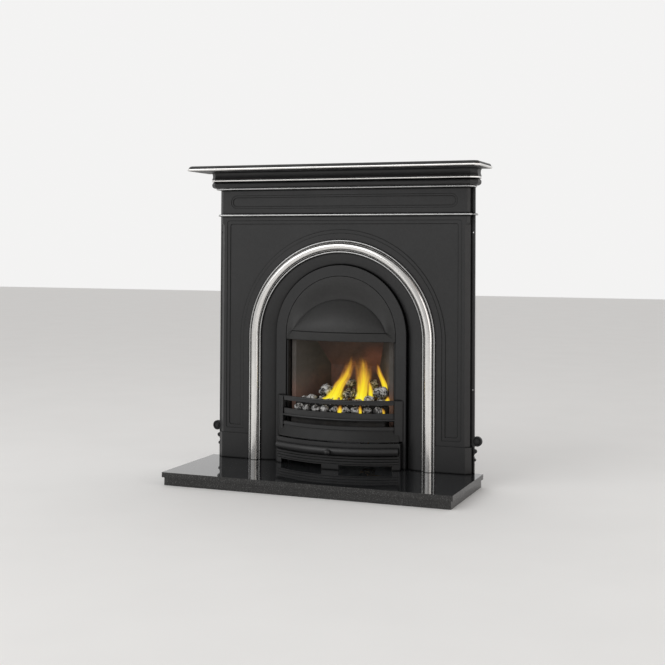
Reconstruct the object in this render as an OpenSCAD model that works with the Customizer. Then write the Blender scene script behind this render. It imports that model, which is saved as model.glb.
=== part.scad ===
// Cast iron fireplace: mantel with a stilted polished arch, arched insert with a bowed
// grate, ceramic coal bed on a gas burner, and a boxed and lipped granite hearth.
// X runs along the mantel, +Y goes into the wall, +Z is up. The origin is on the floor,
// midway along X and midway between the hearth's front edge and the firebox's back.

/* [Mantel] */
// Length of the mantel shelf
shelf_w = 1250; // [1180:10:1340]
// Depth of the shelf from the wall
shelf_d = 212; // [190:2:240]
// Height of the shelf's top above the hearth
mantel_h = 1224; // [1180:2:1320]
// Thickness of the shelf's edge
shelf_t = 20; // [19:1:26]
// How far the shelf passes the body's side faces
shelf_over = 81; // [60:1:95]
// Depth of the body, from the wall to its front plate's face
body_d = 42; // [40:1:60]
// Wall of the mantel casting
iron_t = 8; // [6:1:9]
// Width of the cant on the body's front corners, measured along the front
corner_cant = 18; // [12:1:22]
// Width of the fixing flange that runs down each side against the wall
flange_w = 14; // [14:1:24]
// Thickness of that flange
flange_t = 12; // [8:1:16]
// Height of the plinth blocks
plinth_h = 105; // [80:1:140]
// How far the plinth blocks stand proud of the body
plinth_out = 6; // [4:1:8]

/* [Frieze and cornice] */
// Height of the frieze and cornice together, below the shelf
crown_h = 190; // [184:1:220]
// How far the astragal under the frieze stands out
astragal_out = 10; // [8:1:12]
// Height of the sunk frieze panel, which has round ends
frieze_panel_h = 56; // [40:1:60]
// Greatest projection of the cornice from the body
cornice_out = 38; // [36:1:46]

/* [Arch] */
// Radius of the polished moulding's centre line
arch_r = 379; // [362:1:390]
// Height of the arch's springing above the hearth
spring_h = 516; // [480:1:560]
// Width over the polished moulding
moulding_w = 52; // [48:1:58]
// Radius of its middle roll
roll_r = 17; // [15:1:18]
// How far the sunk side panels lie below the front plate's face
panel_sink = 3.5; // [2:0.5:4]

/* [Insert] */
// Radius of the insert's raised frame, outside
frame_r = 283; // [270:1:290]
// Radius of the insert's opening, which the hood closes at the top
throat_r = 240; // [225:1:250]
// How far the insert's arch springs above the polished arch
insert_rise = 18; // [10:1:24]
// Depth from the wall to the raised frame's face
frame_y = 39; // [36:1:42]
// Drop of the hood's lower edge below the insert's springing
hood_drop = 25; // [16:1:36]
// Height of the hood's plain lower band
hood_band_h = 38; // [30:1:44]
// Rise of the hood's panel above that band
hood_rise = 128; // [110:1:140]

/* [Grate] */
// Radius in plan of the bowed bars, hood and ash cover
bow_r = 480; // [450:5:560]
// How far the grate's ends stop short of the raised frame's outside
grate_inset = 12; // [8:1:18]
// Top of the grate's top bar above the hearth
grate_top_h = 277; // [260:1:300]
// Top of the ash cover above the hearth
cover_top_h = 108; // [95:1:114]
// How far the ash cover stands in front of the bars
cover_out = 22; // [16:1:30]
// Diameter of the ash cover's knob
knob_d = 24; // [20:1:30]

/* [Fire] */
// Depth of the firebox behind the wall's face
firebox_d = 206; // [190:2:260]
// Height of the shelf that the burner stands on
burner_shelf_h = 102; // [96:1:106]
// Top of the ceramic fuel bed above the hearth
bed_top_h = 246; // [234:1:256]
// Bore of the flue collar
flue_d = 125; // [100:5:150]
// Outside diameter of the gas feed pipe
pipe_d = 8; // [8:1:10]

/* [Hearth] */
// Length of the hearth
hearth_w = 1184; // [1160:2:1372]
// Depth of the hearth in front of the wall
hearth_d = 452; // [380:2:480]
// Height of the hearth
hearth_h = 52; // [50:1:75]
// Thickness of the hearth's slab
slab_t = 20; // [18:1:30]
// How far the slab's lip passes the risers
lip = 8; // [5:1:20]
// Thickness of the risers
riser_t = 20; // [18:1:30]
// Width of the block that carries the firebox behind the wall's face
back_hearth_w = 540; // [520:5:900]

/* [Hidden] */
$fn = 72;

// Clearance between castings that sit beside each other, and round a bolt's shank
fit_gap = 0.5;
bolt_gap = 0.3;
over = 1;

iron = [0.16, 0.16, 0.17];
polished = [0.78, 0.77, 0.74];
steel = [0.5, 0.5, 0.52];
granite = [0.1, 0.1, 0.11];
ceramic = [0.35, 0.26, 0.22];
coal_grey = [0.55, 0.54, 0.52];
brass = [0.75, 0.6, 0.3];

// The wall's face lies here in the part's own frame
wall_y = (hearth_d - firebox_d) / 2;
body_w = shelf_w - 2 * shelf_over;
body_half = body_w / 2;
crown_low = mantel_h - shelf_t - crown_h;
crown_top = mantel_h - shelf_t;

// Polished arch: inside and outside radii, and the plate opening behind it
moulding_in = arch_r - moulding_w / 2;
moulding_out = arch_r + moulding_w / 2;
insert_lap = 6;
plate_r = moulding_in + insert_lap + fit_gap;
plate_back = body_d - iron_t;
insert_flange_t = 6;
insert_flange_r = arch_r + 20;

// The insert's springing, the hood's edge, and the half widths of the grate and firebox
insert_spring_h = spring_h + insert_rise;
hood_low_h = insert_spring_h - hood_drop;
seat_w = 8;
grate_half_w = frame_r - grate_inset;
firebox_half_w = throat_r - seat_w;

// Bow of the grate, hood and cover: the axis stands behind the insert frame's face
function sag(half, r) = r - sqrt(r * r - half * half);
bar_axis_y = -frame_y - 1 + bow_r - sag(grate_half_w, bow_r);
bar_front_y = bar_axis_y - bow_r;
cover_axis_y = bar_axis_y - cover_out;
bow_angle = asin(grate_half_w / bow_r);

// Places the mantel and the fire: z is then the height above the hearth, y = 0 the wall
module at_wall() {
    translate([0, wall_y, hearth_h])
    children();
}

module at_floor() {
    translate([0, wall_y, 0])
    children();
}

// Extrudes a front view (X, Z) between two depths
module front_extrude(y_low, y_high) {
    translate([0, y_high, 0])
    rotate([90, 0, 0])
    linear_extrude(y_high - y_low)
    children();
}

// Extrudes a side view (Y, Z) along X, centred
module side_extrude(length) {
    rotate([90, 0, 90])
    linear_extrude(length, center = true)
    children();
}

// Both sides of the middle plane
module both_sides() {
    children();
    mirror([1, 0, 0])
    children();
}

// Front view of a stilted arch that stands on the hearth
module stilted(r, spring) {
    translate([0, spring])
    circle(r, $fn = 144);
    translate([-r, 0])
    square([2 * r, spring]);
}

// Sweeps a section (radius, distance from the wall) up both legs and round the arch
module arch_sweep(spring) {
    translate([0, 0, spring])
    rotate([90, 0, 0])
    rotate_extrude(angle = 180, $fn = 144)
    children();
    both_sides()
    mirror([0, 1, 0])
    linear_extrude(spring)
    children();
}

// Plan of a block against the wall with round front corners
module bay_plan(width, depth, r) {
    translate([-width / 2, r - depth])
    square([width, depth - r]);
    translate([r - width / 2, -depth])
    square([width - 2 * r, depth]);
    for (side = [-1, 1])
        translate([side * (width / 2 - r), r - depth])
        circle(r);
}

// The same with canted corners
module canted_plan(width, depth, cant) {
    polygon([
        [-width / 2, 0],
        [-width / 2, cant - depth],
        [cant - width / 2, -depth],
        [width / 2 - cant, -depth],
        [width / 2, cant - depth],
        [width / 2, 0]
    ]);
}

// A moulding returned round a block of that half width and depth, with canted corners.
// The section's x is the distance out from the block's face, and it reaches far back.
module returned(half, depth, cant) {
    reach = 4 * half;
    intersection() {
        side_extrude(reach)
        mirror([1, 0])
        translate([depth, 0])
        children();
        front_extrude(-reach, 0)
        translate([half, 0])
        children();
        mirror([1, 0, 0])
        front_extrude(-reach, 0)
        translate([half, 0])
        children();
        corner_extrude(half, depth, cant, reach)
        children();
        mirror([1, 0, 0])
        corner_extrude(half, depth, cant, reach)
        children();
    }
}

module corner_extrude(half, depth, cant, reach) {
    translate([half, -depth, 0])
    rotate([0, 0, -45])
    front_extrude(-reach, reach)
    translate([-cant / sqrt(2), 0])
    children();
}

module rounded_rect(width, height, r) {
    translate([-width / 2 + r, 0])
    square([width - 2 * r, height]);
    translate([-width / 2, r])
    square([width, height - 2 * r]);
    for (x = [r - width / 2, width / 2 - r])
        for (z = [r, height - r])
            translate([x, z])
            circle(r);
}

// A bent section round the bow, between two angles either side of the middle
module bowed(axis_y, half_angle) {
    translate([0, axis_y, 0])
    rotate([0, 0, -90 - half_angle])
    rotate_extrude(angle = 2 * half_angle, $fn = 200)
    children();
}

// ---------------------------------------------------------------- hearth

module hearth_slab() {
    color(granite)
    at_floor()
    translate([0, 0, hearth_h - slab_t])
    linear_extrude(slab_t)
    bay_plan(hearth_w, hearth_d, 2);
}

module front_riser() {
    color(granite)
    at_floor()
    translate([-hearth_w / 2 + lip, -hearth_d + lip, 0])
    cube([hearth_w - 2 * lip, riser_t, hearth_h - slab_t]);
}

module side_riser() {
    translate([hearth_w / 2 - lip - riser_t, -hearth_d + lip + riser_t, 0])
    cube([riser_t, hearth_d - lip - riser_t, hearth_h - slab_t]);
}

module left_riser() {
    color(granite)
    at_floor()
    mirror([1, 0, 0])
    side_riser();
}

module right_riser() {
    color(granite)
    at_floor()
    side_riser();
}

// Packing strips under the slab, from the front riser to the wall
module slab_supports() {
    strip_w = 40;
    strip_step = hearth_w / 4;
    color(granite)
    at_floor()
    for (i = [-1, 0, 1])
        translate([i * strip_step - strip_w / 2, -hearth_d + lip + riser_t, 0])
        cube([strip_w, hearth_d - lip - riser_t, hearth_h - slab_t]);
}

module back_hearth() {
    color([0.45, 0.44, 0.42])
    at_floor()
    translate([-back_hearth_w / 2, 0, 0])
    cube([back_hearth_w, firebox_d, hearth_h]);
}

// ---------------------------------------------------------------- mantel

bead_low_r = 4;
bead_top_r = 5;
torus_r = 14;
fascia_h = 29;
bead_top_z = crown_top - fascia_h - bead_top_r;
torus_z = bead_top_z - bead_top_r - torus_r + 1;
bead_low_z = torus_z - torus_r - bead_low_r + 1;
bead_low_out = 20;
astragal_r = 4;
astragal_z = crown_low + 10;
crown_cant = 3.5;
far_back = 3 * body_w;

// A moulding's section: out to that distance, and round at its tip
module round_tip(out, z, r) {
    translate([-far_back, z - r])
    square([far_back + out - r, 2 * r]);
    translate([out - r, z])
    circle(r);
}

// Section of the frieze and cornice: x is the distance out from the body's face
module crown_profile() {
    translate([-far_back, crown_low])
    square([far_back, crown_h]);
    round_tip(astragal_out, astragal_z, astragal_r);
    round_tip(bead_low_out, bead_low_z, bead_low_r);
    round_tip(cornice_out - 1, torus_z, torus_r);
    round_tip(cornice_out, bead_top_z, bead_top_r);
    difference() {
        translate([-far_back, crown_top - fascia_h - 1])
        square([far_back + cornice_out - 1, fascia_h + 1]);
        translate([cornice_out + 24, crown_top - fascia_h / 2])
        circle(28);
    }
}

// The scroll ear and ogee foot that end each fixing flange
flange_x = body_half + flange_w;
ear_r = 20;
ear_z = plinth_h + ear_r + 3;
ear_x = flange_x + ear_r - 9;
foot_roll_r = 9;
foot_roll_z = ear_z - ear_r - foot_roll_r - 11;
foot_bead_r = 6;
foot_bead_z = foot_roll_z - 34;

module ear_outline() {
    translate([body_half - over, 0])
    square([flange_w + over, bead_low_z]);
    translate([ear_x, ear_z])
    circle(ear_r);
    translate([flange_x + 1, foot_roll_z])
    circle(foot_roll_r);
    translate([flange_x, foot_bead_z])
    circle(foot_bead_r);
}

module side_flange() {
    notch_r = 7;
    volute_r = 10;
    difference() {
        front_extrude(-flange_t, 0)
        difference() {
            ear_outline();
            translate([flange_x + 5, (foot_roll_z + foot_bead_z - 2) / 2])
            circle(notch_r);
        }
        // ring of the volute
        translate([ear_x, -flange_t, ear_z])
        rotate([90, 0, 0])
        rotate_extrude()
        translate([volute_r + 3, 0])
        circle(2);
    }
    translate([ear_x, -flange_t, ear_z])
    rotate([90, 0, 0])
    cylinder(h = 3, r1 = 7, r2 = 5);
    // the astragal passes over the flange
    front_extrude(-flange_t - 4, 0)
    intersection() {
        translate([flange_x, 0])
        round_tip(astragal_out, astragal_z, astragal_r);
        translate([body_half, 0])
        square([body_half, crown_top]);
    }
}

// Sunk side and top panel round the arch, as a moulded double line
panel_edge = 31;
panel_top_h = crown_low - 12;
panel_low_h = plinth_h + 21;
panel_arch_r = moulding_out + 27;

module spandrel_panel(inset) {
    difference() {
        translate([0, panel_low_h + inset])
        rounded_rect(body_w - 2 * (panel_edge + inset), panel_top_h - panel_low_h - 2 * inset, 10);
        stilted(panel_arch_r + inset, spring_h);
        translate([-moulding_out, -over])
        square([2 * moulding_out, panel_low_h]);
    }
}

frieze_mid = (astragal_z + bead_low_z) / 2;
frieze_edge = 48;

module frieze_panel(inset) {
    height = frieze_panel_h - 2 * inset;
    width = body_w - 2 * (frieze_edge + inset);
    for (side = [-1, 1])
        translate([side * (width - height) / 2, frieze_mid])
        circle(height / 2);
    translate([-(width - height) / 2, frieze_mid - height / 2])
    square([width - height, height]);
}

// Places of the four screws through the side flanges into the wall
wall_hole_d = 6;
wall_hole_x = flange_x - flange_w / 2;
wall_hole_low = 330;
wall_hole_high = crown_low - 62;

// Places of the shelf's bolts and of the bolts round the arch
shelf_bolt_d = 8;
shelf_bolt_pitch = (body_w - 224) / 3;
shelf_bolt_x = [-1.5, -0.5, 0.5, 1.5] * shelf_bolt_pitch;
shelf_bolt_y = 12 - body_d;
arch_bolt_d = 6;
arch_bolt_angles = [18, 54, 90, 126, 162];
arch_bolt_legs = [plinth_h + 25, spring_h - 136];

module at_arch_bolts() {
    for (a = arch_bolt_angles)
        translate([arch_r * cos(a), 0, spring_h + arch_r * sin(a)])
        children();
    for (z = arch_bolt_legs)
        for (side = [-1, 1])
            translate([side * arch_r, 0, z])
            children();
}

module along_y(y_low, y_high, d) {
    translate([0, y_high, 0])
    rotate([90, 0, 0])
    cylinder(h = y_high - y_low, d = d, $fn = 32);
}

// The cant ends below the astragal in a lamb's tongue
tongue_h = 26;
tongue_top = crown_low - 9;

module cant_cut() {
    deep = corner_cant / sqrt(2);
    steps = 12;
    translate([body_half, -body_d, 0])
    rotate([0, 0, -45])
    front_extrude(-2 * corner_cant, 2 * corner_cant)
    polygon(concat(
        [[corner_cant, tongue_top], [corner_cant, -over], [-deep, -over]],
        [for (i = [0:steps])
            let (t = i / steps)
            [-deep * (1 + cos(180 * t)) / 2, tongue_top + (t - 1) * tongue_h]]
    ));
}

// Above the lamb's tongue the body's corner keeps a smaller cant, which the astragal crosses
frieze_cant = 10;

module frieze_cant_cut() {
    deep = frieze_cant / sqrt(2);
    spans = [
        [tongue_top - tongue_h, astragal_z - astragal_r],
        [astragal_z + astragal_r, bead_low_z - bead_low_r]
    ];
    translate([body_half, -body_d, 0])
    rotate([0, 0, -45])
    front_extrude(-2 * frieze_cant, 2 * frieze_cant)
    for (span = spans)
        translate([-deep, span[0]])
        square([2 * deep, span[1] - span[0]]);
}

module mantel_body() {
    plinth_front = 2;
    difference() {
        returned(body_half, body_d, crown_cant) {
            crown_profile();
            translate([-far_back, 0])
            square([far_back, crown_low + over]);
        }
        both_sides() {
            cant_cut();
            frieze_cant_cut();
        }
    }
    difference() {
        linear_extrude(plinth_h)
        canted_plan(body_w + 2 * plinth_out, body_d + plinth_front, corner_cant + 2);
        front_extrude(-body_d - 2 * plinth_front, -body_d)
        translate([-moulding_out - fit_gap, -over])
        square([2 * (moulding_out + fit_gap), plinth_h + 2 * over]);
    }
    both_sides()
    side_flange();
}

// Inside of the open-backed casting
module mantel_hollow() {
    cornice_wall = 12;
    cornice_low = bead_low_z + cornice_wall;
    reach = cornice_out - 3 * iron_t;
    translate([0, 0, -over])
    linear_extrude(crown_top - iron_t + over)
    translate([0, over])
    canted_plan(body_w - 2 * iron_t, body_d - iron_t + over, corner_cant - 0.58 * iron_t);
    translate([0, over, cornice_low])
    linear_extrude(crown_top - iron_t - cornice_low)
    canted_plan(body_w + 2 * reach, body_d + reach + over, 2 * iron_t);
}

module mantel_surround() {
    line_sink = 1.5;
    line_gap = 14;
    color(iron)
    at_wall()
    difference() {
        mantel_body();
        mantel_hollow();
        front_extrude(-body_d - plinth_out, over)
        translate([0, -over])
        stilted(plate_r, spring_h + over);
        front_extrude(-body_d - over, line_sink - body_d)
        spandrel_panel(0);
        front_extrude(-body_d - over, panel_sink - body_d)
        spandrel_panel(line_gap);
        front_extrude(-body_d - over, line_sink - body_d)
        frieze_panel(0);
        front_extrude(-body_d - over, panel_sink - body_d)
        frieze_panel(8);
        for (z = [wall_hole_low, wall_hole_high])
            for (side = [-1, 1])
                translate([side * wall_hole_x, 0, z])
                along_y(-flange_t - over, over, wall_hole_d);
        for (x = shelf_bolt_x)
            translate([x, shelf_bolt_y, crown_top - 2 * iron_t])
            cylinder(h = 3 * iron_t, d = shelf_bolt_d + 2 * bolt_gap);
        at_arch_bolts()
        along_y(-body_d - over, over, arch_bolt_d + 2 * bolt_gap);
    }
}

// Edge of the shelf: black upper roll set back over a polished bullnose
nose_r = 5;
nose_back = 15;
shelf_cant = 18;

module shelf_profile() {
    roll = shelf_t - 2 * nose_r;
    round_tip(0, crown_top + nose_r, nose_r);
    translate([-far_back, crown_top])
    square([far_back - nose_back, shelf_t]);
    translate([-nose_back, mantel_h - roll])
    circle(roll);
}

module mantel_shelf() {
    color(iron)
    at_wall()
    difference() {
        returned(shelf_w / 2, shelf_d, shelf_cant)
        shelf_profile();
        translate([-body_half + 2 * iron_t, -body_d, crown_top - over])
        cube([body_w - 4 * iron_t, 10, shelf_t / 2 + over]);
        for (x = shelf_bolt_x)
            translate([x, shelf_bolt_y, crown_top - over])
            cylinder(h = 14 + over, d = shelf_bolt_d + 0.1);
    }
}

// ---------------------------------------------------------------- arch and insert

module polished_arch() {
    rim_r = 3;
    web = 3;
    color(polished)
    at_wall()
    difference() {
        arch_sweep(spring_h) {
            difference() {
                union() {
                    translate([moulding_in, body_d])
                    square([moulding_w, web]);
                    for (r = [moulding_in + rim_r, moulding_out - rim_r])
                        translate([r, body_d + web])
                        circle(rim_r, $fn = 32);
                    translate([arch_r, body_d + web - 2])
                    circle(roll_r);
                }
                translate([moulding_in - over, body_d - 2 * roll_r])
                square([moulding_w + 2 * over, 2 * roll_r]);
            }
        }
        at_arch_bolts()
        along_y(-body_d - 10, over - body_d, arch_bolt_d + 0.1);
    }
}

// Section of the insert: convex reveal, with the flange behind the mantel
hood_t = 6;
seat_t = 6;
frame_t = 8;
reveal_t = 7;
reveal_sink = 2;
reveal_drop = 29;
reveal_out = moulding_in + insert_lap;
reveal_span = reveal_out - frame_r + frame_t;
reveal_r = (reveal_span * reveal_span + reveal_drop * reveal_drop) / (2 * reveal_drop);
frame_web_low = body_d - reveal_sink - reveal_t - reveal_drop + 3;
frame_boss_r = throat_r + 26;

module reveal_section() {
    intersection() {
        translate([frame_r - frame_t, 0])
        square([reveal_span, body_d]);
        translate([reveal_out, body_d - reveal_sink - reveal_r])
        difference() {
            circle(reveal_r, $fn = 96);
            circle(reveal_r - reveal_t, $fn = 96);
        }
    }
    translate([reveal_out - 8, plate_back - insert_flange_t])
    square([insert_flange_r - reveal_out + 8, insert_flange_t]);
    translate([moulding_in - 2, plate_back - insert_flange_t])
    square([insert_lap + 2, iron_t + insert_flange_t]);
}

// Section of the raised frame, with the seat for the hood and the face for the firebox
module frame_section() {
    translate([throat_r, frame_y - frame_t])
    square([frame_r - throat_r, frame_t]);
    translate([frame_r - frame_t, frame_web_low])
    square([frame_t, frame_y - frame_web_low]);
    translate([throat_r - seat_w, frame_y - hood_t - seat_t])
    square([frame_boss_r - throat_r + seat_w, seat_t]);
}

// Hooks behind the grate drop behind the frame through these slots
hook_x = throat_r + 11;
hook_z = grate_top_h - 80;
hook_t = 4;
hook_drop = 16;
grate_lift = 26;

module hook_slots() {
    slot_w = hook_t + 4;
    for (side = [-1, 1]) {
        translate([side * hook_x - slot_w / 2, -frame_y - over, hook_z])
        cube([slot_w, frame_y, grate_lift + hook_drop + 6]);
        translate([side * hook_x - slot_w / 2, frame_t - frame_y, hook_z - hook_drop - 4])
        cube([slot_w, frame_y, grate_lift + 2 * hook_drop + 10]);
    }
}

firebox_bolt_x = firebox_half_w + 15;
firebox_bolt_z = [140, 420];
firebox_bolt_d = 6;
firebox_front_y = hood_t + seat_t - frame_y;

module at_firebox_bolts() {
    for (z = firebox_bolt_z)
        for (side = [-1, 1])
            translate([side * firebox_bolt_x, 0, z])
            children();
}

module arch_insert() {
    color(iron)
    at_wall()
    difference() {
        union() {
            arch_sweep(spring_h)
            reveal_section();
            arch_sweep(insert_spring_h)
            frame_section();
        }
        hook_slots();
        at_arch_bolts()
        along_y(-body_d, over, arch_bolt_d + 2 * bolt_gap);
        at_firebox_bolts()
        along_y(3 - frame_y, over, firebox_bolt_d + 0.1);
    }
}

// Hood: a dished plate that fills the arch, with a panel that leans out to a bowed lip
hood_half = throat_r - 37;
hood_r = (hood_half * hood_half + hood_rise * hood_rise) / (2 * hood_rise);
hood_band_z = hood_low_h + hood_band_h;
hood_centre_z = hood_band_z + hood_rise - hood_r;
hood_foot_a = asin(hood_half / hood_r);
// The hood's rim leaves a groove inside the frame
hood_groove = 2;
hood_rim_r = throat_r - hood_groove;
hood_trough_y = -22;
hood_columns = 44;
hood_sides = 4;
dish_rows = 7;
panel_rows = 8;

function bow_y(x) = -frame_y - sag(throat_r, bow_r) + sag(abs(x), bow_r);
function ease(t) = (1 - cos(180 * max(0, min(1, (t - 0.14) / 0.86)))) / 2;
function mix(a, b, t) = a + (b - a) * t;
function trough_y(a) = mix(hood_trough_y, bow_y(hood_half) + 4, pow(a / hood_foot_a, 2));
function rim_point(a) =
    let (b = a * 84 / hood_foot_a)
    [hood_rim_r * sin(b), -frame_y, insert_spring_h + hood_rim_r * cos(b)];
function edge_point(a, r) = [r * sin(a), 0, hood_centre_z + r * cos(a)];

// One column of the hood's face, from the rim over the dish and panel down to the lip
function hood_column(a) =
    let (rim = rim_point(a), edge = edge_point(a, hood_r), x = edge[0], bow = bow_y(x))
    let (low = trough_y(a), step = edge_point(a, hood_r - 1.6))
    concat(
        [for (j = [0:dish_rows])
            let (t = j / dish_rows)
            [mix(rim[0], x, t), mix(-frame_y, low, ease(t)), mix(rim[2], edge[2], t)]],
        [for (j = [0:panel_rows])
            let (t = j / panel_rows, z = mix(step[2], min(hood_band_z, step[2] - 1), t))
            [mix(step[0], x, t), mix(low - 3, bow, sin(90 * t)), z]],
        [[x, bow + 1.5, hood_band_z - 2.5],
         [x, bow - 1, hood_band_z - 4],
         [x, bow - 1, hood_low_h + 5],
         [x, bow, hood_low_h + 1.5],
         [x, bow + 2.5, hood_low_h]]
    );

// The column at the side, where the hood meets the frame's leg
hood_rows = dish_rows + panel_rows + 7;
function side_column(side) =
    [for (j = [0:hood_rows - 1])
        [side * hood_rim_r, -frame_y, mix(insert_spring_h, hood_low_h, j / (hood_rows - 1))]];
function mix_column(a, b, t) = [for (j = [0:hood_rows - 1]) a[j] + (b[j] - a[j]) * t];

module canopy_hood() {
    face = concat(
        [for (i = [0:hood_sides - 1])
            mix_column(side_column(-1), hood_column(-hood_foot_a), i / hood_sides)],
        [for (i = [0:hood_columns])
            hood_column(mix(-hood_foot_a, hood_foot_a, i / hood_columns))],
        [for (i = [1:hood_sides])
            mix_column(hood_column(hood_foot_a), side_column(1), i / hood_sides)]
    );
    columns = len(face);
    back = [for (column = face) [for (p = column) p + [0, hood_t, 0]]];
    points = concat([for (column = face) each column], [for (column = back) each column]);
    n = columns * hood_rows;
    function at(i, j) = i * hood_rows + j;
    cells = [for (i = [0:columns - 2]) for (j = [0:hood_rows - 2]) [i, j]];
    front_faces = [for (c = cells) each
        [[at(c[0], c[1]), at(c[0] + 1, c[1]), at(c[0] + 1, c[1] + 1)],
         [at(c[0], c[1]), at(c[0] + 1, c[1] + 1), at(c[0], c[1] + 1)]]];
    back_faces = [for (f = front_faces) [f[0] + n, f[2] + n, f[1] + n]];
    top_faces = [for (i = [0:columns - 2]) each
        [[at(i, 0), at(i, 0) + n, at(i + 1, 0)],
         [at(i + 1, 0), at(i, 0) + n, at(i + 1, 0) + n]]];
    last = hood_rows - 1;
    low_faces = [for (i = [0:columns - 2]) each
        [[at(i, last), at(i + 1, last), at(i, last) + n],
         [at(i + 1, last), at(i + 1, last) + n, at(i, last) + n]]];
    end = columns - 1;
    left_faces = [for (j = [0:hood_rows - 2]) each
        [[at(0, j), at(0, j + 1), at(0, j) + n],
         [at(0, j + 1), at(0, j + 1) + n, at(0, j) + n]]];
    right_faces = [for (j = [0:hood_rows - 2]) each
        [[at(end, j), at(end, j) + n, at(end, j + 1)],
         [at(end, j + 1), at(end, j) + n, at(end, j + 1) + n]]];
    color(iron)
    at_wall()
    polyhedron(points,
        concat(front_faces, back_faces, top_faces, low_faces, left_faces, right_faces));
}

// ---------------------------------------------------------------- firebox

sheet_t = 2;
firebox_h = insert_spring_h + 66;
flue_y = firebox_d - flue_d / 2 - 14;
pipe_z = 45;
pipe_y = 25;
valve_x = 100;

// Plan of the space inside the ceramic panels, which narrows towards the back
chamber_front_y = -12;
chamber_back_y = firebox_d - 56;
chamber_front_x = firebox_half_w - 27;
chamber_back_x = chamber_front_x - 95;
panel_t = 18;
panel_top_z = hood_low_h + 13;

module firebox_tab() {
    translate([firebox_half_w - over, firebox_front_y, -16])
    cube([29, sheet_t, 32]);
}

module firebox() {
    color(steel)
    at_wall()
    difference() {
        union() {
            translate([-firebox_half_w, firebox_front_y, 0])
            cube([2 * firebox_half_w, firebox_d - firebox_front_y, firebox_h]);
            for (z = firebox_bolt_z)
                both_sides()
                translate([0, 0, z])
                firebox_tab();
        }
        translate([sheet_t - firebox_half_w, firebox_front_y - over, burner_shelf_h])
        cube([2 * (firebox_half_w - sheet_t), firebox_d - firebox_front_y - sheet_t + over,
              firebox_h - burner_shelf_h - sheet_t]);
        translate([sheet_t - firebox_half_w, firebox_front_y - over, -over])
        cube([2 * (firebox_half_w - sheet_t), firebox_d - firebox_front_y - sheet_t + over,
              burner_shelf_h - sheet_t + over]);
        translate([0, flue_y, firebox_h - 2 * sheet_t])
        cylinder(h = 3 * sheet_t, d = flue_d - 4);
        at_firebox_bolts()
        along_y(-frame_y, over, firebox_bolt_d + 2 * bolt_gap);
        translate([0, pipe_y, pipe_z])
        rotate([0, 90, 0])
        cylinder(h = firebox_half_w + over, d = pipe_d + 4);
        translate([valve_x, pipe_y + 10, burner_shelf_h - 2 * sheet_t])
        cylinder(h = 3 * sheet_t, d = pipe_d + 4);
    }
}

module flue_collar() {
    collar_h = 60;
    collar_t = 2;
    color(steel)
    at_wall()
    translate([0, flue_y, firebox_h])
    difference() {
        union() {
            cylinder(h = 3, d = flue_d + 24);
            cylinder(h = collar_h, d = flue_d);
        }
        translate([0, 0, -over])
        cylinder(h = collar_h + 2 * over, d = flue_d - 2 * collar_t);
    }
}

module right_cheek_solid() {
    translate([0, 0, burner_shelf_h])
    linear_extrude(panel_top_z - burner_shelf_h)
    polygon([
        [chamber_front_x, chamber_front_y],
        [chamber_front_x + panel_t, chamber_front_y],
        [chamber_back_x + panel_t, chamber_back_y - fit_gap],
        [chamber_back_x, chamber_back_y - fit_gap]
    ]);
}

module left_cheek() {
    color(ceramic)
    at_wall()
    mirror([1, 0, 0])
    right_cheek_solid();
}

module right_cheek() {
    color(ceramic)
    at_wall()
    right_cheek_solid();
}

// Upright back, then a slope that leans forward to the throat
module fireback() {
    knee_z = panel_top_z - 130;
    throat_y = chamber_back_y - 84;
    t = 22;
    color(ceramic)
    at_wall()
    intersection() {
        side_extrude(2 * firebox_half_w)
        polygon([
            [chamber_back_y, burner_shelf_h],
            [chamber_back_y + t, burner_shelf_h],
            [chamber_back_y + t, knee_z + 12],
            [throat_y + t, panel_top_z],
            [throat_y, panel_top_z],
            [chamber_back_y, knee_z]
        ]);
        linear_extrude(firebox_h)
        union() {
            polygon([
                [fit_gap - chamber_front_x, chamber_front_y],
                [chamber_front_x - fit_gap, chamber_front_y],
                [chamber_back_x - fit_gap, chamber_back_y - fit_gap],
                [chamber_back_x - fit_gap, chamber_back_y + over],
                [fit_gap - chamber_back_x, chamber_back_y + over],
                [fit_gap - chamber_back_x, chamber_back_y - fit_gap]
            ]);
            translate([-firebox_half_w + 8, chamber_back_y])
            square([2 * firebox_half_w - 16, t]);
        }
    }
}

// ---------------------------------------------------------------- grate and ash cover

bar_t = 10;
grate_low_h = cover_top_h + 4;
upright_w = 34;

module bar_round(r, z, d) {
    translate([r, z])
    circle(d = d, $fn = 32);
}

// Two bars, a thin rail and the apron that slants out to the ash cover
module grate_section() {
    top_low = grate_top_h - 19;
    apron_top = top_low - 86;
    translate([bow_r - bar_t, top_low])
    square([bar_t - 1, grate_top_h - top_low - 5]);
    bar_round(bow_r - 6, grate_top_h - 5.5, 11);
    translate([bow_r - bar_t, top_low - 65])
    square([bar_t - 2, 32]);
    bar_round(bow_r - 3, top_low - 60, 10);
    polygon([
        [bow_r - bar_t, apron_top],
        [bow_r - bar_t, grate_low_h],
        [bow_r + 9, grate_low_h],
        [bow_r + 9, grate_low_h + 4],
        [bow_r - 2, apron_top - 18],
        [bow_r - 2, apron_top - 15],
        [bow_r, apron_top - 14],
        [bow_r, apron_top - 2],
        [bow_r - 2, apron_top]
    ]);
}

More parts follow.
